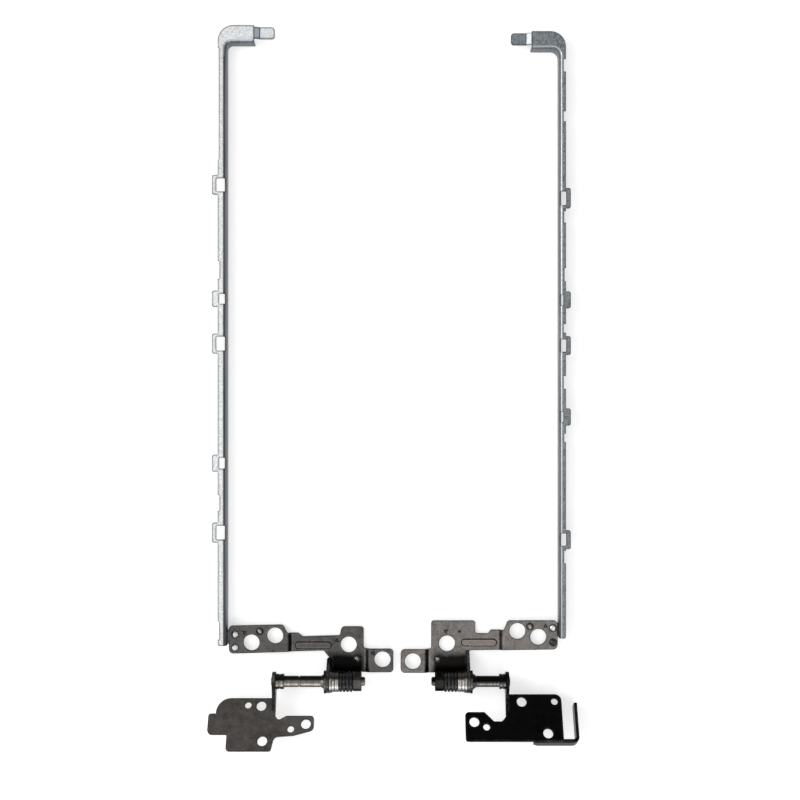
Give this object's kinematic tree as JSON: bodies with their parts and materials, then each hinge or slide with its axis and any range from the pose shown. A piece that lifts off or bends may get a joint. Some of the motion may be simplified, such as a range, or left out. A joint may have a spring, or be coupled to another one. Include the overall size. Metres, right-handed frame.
{
  "type": "laptop hinge pair",
  "caption": "Left and right laptop lid hinges: folded panel rails on pressed lid brackets, with friction barrels joined to flat base brackets.",
  "frame": {"origin": "on the hinge line, midway between the inner ends of the two lid brackets", "axes": "+X along the hinge line to the right-hand hinge, +Y up the lid along the rails, +Z out of the lid towards its screen side; the lid brackets' undersides are at Z = -6 mm"},
  "size_m": [0.1312, 0.2571, 0.0138],
  "materials": {
    "zinc_left": "galvanised, pale and bright",
    "zinc_right": "galvanised, greyer",
    "lid_steel_left": "glossy dark grey plating",
    "lid_steel_right": "glossy bronze-grey plating",
    "rivet_steel": "plain steel",
    "friction_steel": "ground",
    "shaft_steel": "turned, dark nickel",
    "base_steel_left": "satin dark grey",
    "base_steel_right": "glossy near black",
    "washer_steel": "ground",
    "spring_steel": "blackened, oiled",
    "nut_steel": "blackened"
  },
  "bodies": {
    "lid_side": {"left_rail": "zinc_left", "left_lid_bracket": "lid_steel_left", "left_rail_rivets": "rivet_steel", "left_friction_plate": "friction_steel", "right_rail": "zinc_right", "right_lid_bracket": "lid_steel_right", "right_rail_rivets": "rivet_steel", "right_friction_plate": "friction_steel"},
    "left_base": {"left_base_bracket": "base_steel_left", "left_shaft": "shaft_steel", "left_stop_washer": "washer_steel", "left_shaft_washer": "washer_steel", "left_pressure_ring": "washer_steel", "left_disc_spring_1": "spring_steel", "left_disc_spring_2": "spring_steel", "left_disc_spring_3": "spring_steel", "left_disc_spring_4": "spring_steel", "left_disc_spring_5": "spring_steel", "left_disc_spring_6": "spring_steel", "left_disc_spring_7": "spring_steel", "left_disc_spring_8": "spring_steel", "left_lock_nut": "nut_steel"},
    "right_base": {"right_base_bracket": "base_steel_right", "right_shaft": "shaft_steel", "right_stop_washer": "washer_steel", "right_shaft_washer": "washer_steel", "right_pressure_ring": "washer_steel", "right_disc_spring_1": "spring_steel", "right_disc_spring_2": "spring_steel", "right_disc_spring_3": "spring_steel", "right_disc_spring_4": "spring_steel", "right_disc_spring_5": "spring_steel", "right_disc_spring_6": "spring_steel", "right_disc_spring_7": "spring_steel", "right_disc_spring_8": "spring_steel", "right_lock_nut": "nut_steel"}
  },
  "joints": [
    {"name": "left_hinge", "type": "hinge", "parent": "lid_side", "child": "left_base", "pos_m": [-0.0249, 0, 0], "axis": [1, 0, 0], "range_deg": [-150, 0]},
    {"name": "right_hinge", "type": "hinge", "parent": "lid_side", "child": "right_base", "pos_m": [0.0254, 0, 0], "axis": [1, 0, 0], "range_deg": [-150, 0]}
  ]
}
